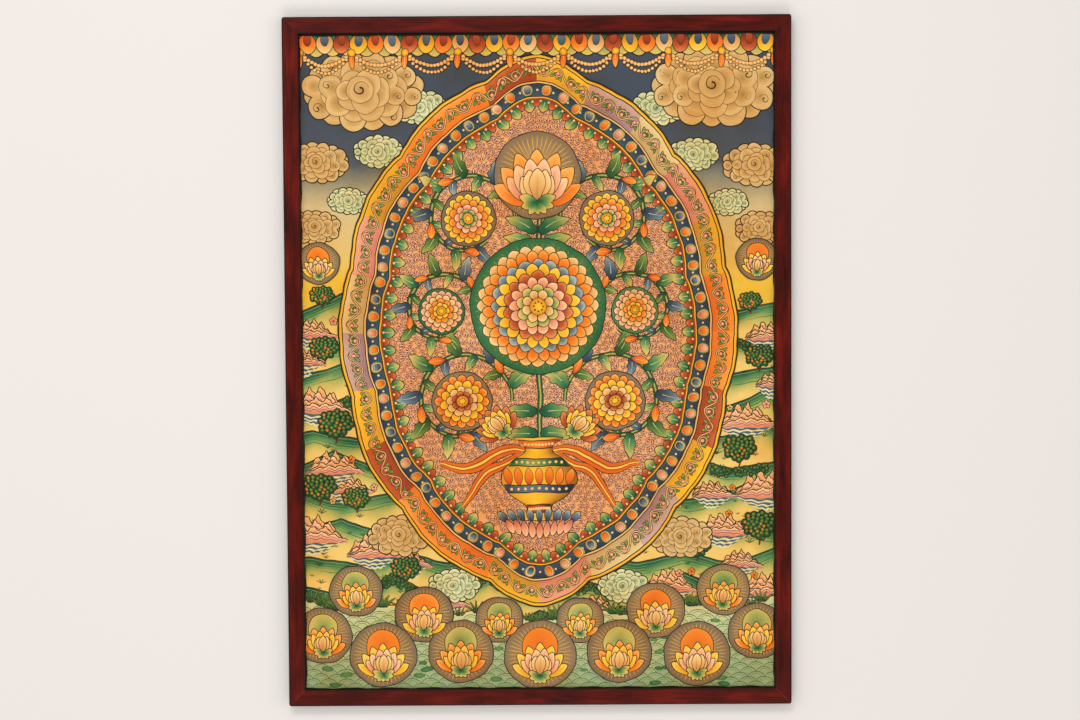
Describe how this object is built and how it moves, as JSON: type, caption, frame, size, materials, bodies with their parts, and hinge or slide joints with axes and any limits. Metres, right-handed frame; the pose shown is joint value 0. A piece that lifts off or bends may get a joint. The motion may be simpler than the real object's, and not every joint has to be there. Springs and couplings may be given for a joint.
{
  "type": "painted thangka cloth in a wooden picture frame",
  "caption": "Painted cotton cloth held flat in a mitred, red-brown wooden picture frame with a plain back board.",
  "frame": {"origin": "middle of the frame's back, on the surface that it lies on", "axes": "+Z out of the picture's face, +Y to the picture's top, +X to the picture's right as it is looked at"},
  "size_m": [0.66, 0.9, 0.018],
  "materials": {
    "frame_wood": "satin lacquer over a red-brown stain",
    "painted_cotton": "matte mineral paint on primed cotton",
    "back_board": "bare hardboard"
  },
  "bodies": {
    "root": {"top_rail": "frame_wood", "bottom_rail": "frame_wood", "left_stile": "frame_wood", "right_stile": "frame_wood", "painted_cloth": "painted_cotton", "back_board": "back_board"}
  },
  "joints": []
}
